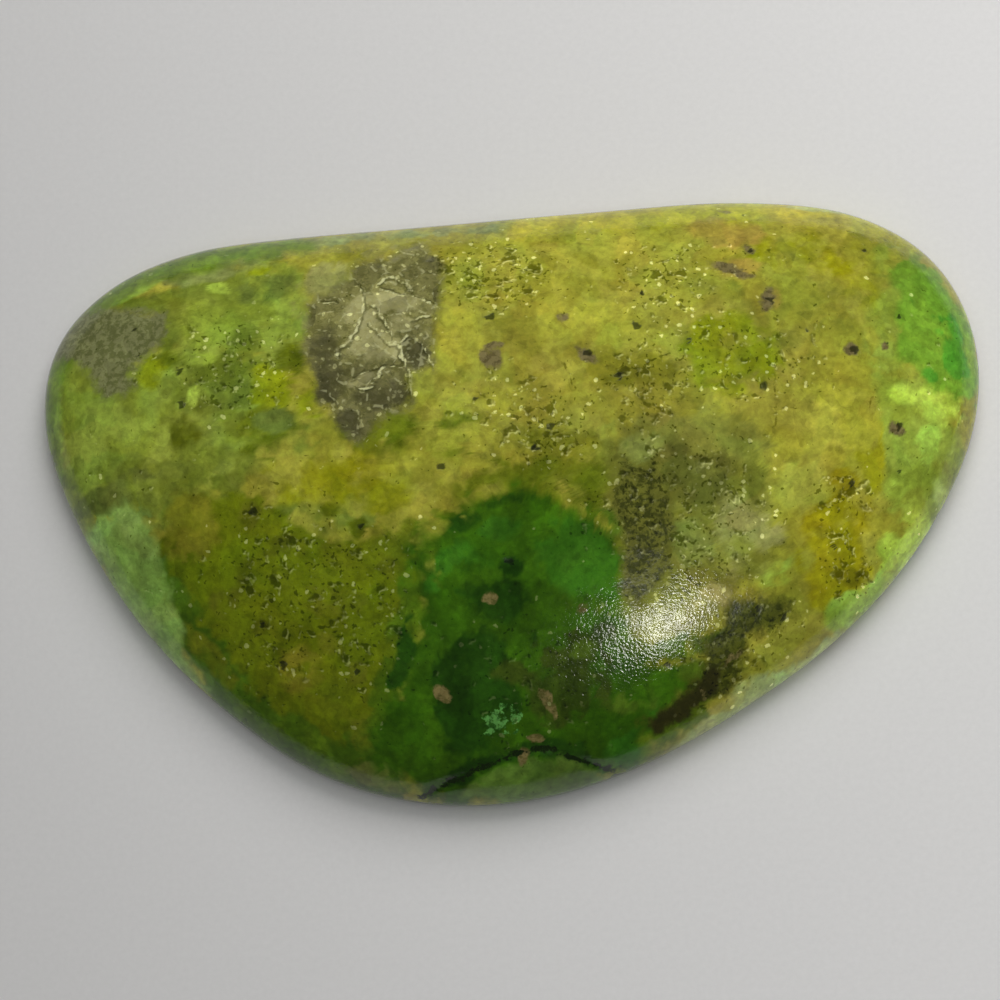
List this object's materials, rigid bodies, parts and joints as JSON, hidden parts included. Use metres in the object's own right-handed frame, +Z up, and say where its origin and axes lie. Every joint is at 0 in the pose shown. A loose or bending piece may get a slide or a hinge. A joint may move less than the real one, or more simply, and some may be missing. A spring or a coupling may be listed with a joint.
{
  "type": "chrysocolla cabochon",
  "caption": "Polished freeform cabochon of green and olive chrysocolla with a domed face and a flat back, a mineral specimen to show or to set in jewellery.",
  "frame": {"origin": "on the flat back, in the middle of the outline's bounding box", "axes": "+X along the stone's length, +Y towards its long straight side, +Z up from the flat back to the dome"},
  "size_m": [0.0554, 0.0362, 0.008],
  "materials": {
    "chrysocolla": "polished"
  },
  "bodies": {
    "root": {"chrysocolla_stone": "chrysocolla"}
  },
  "joints": []
}
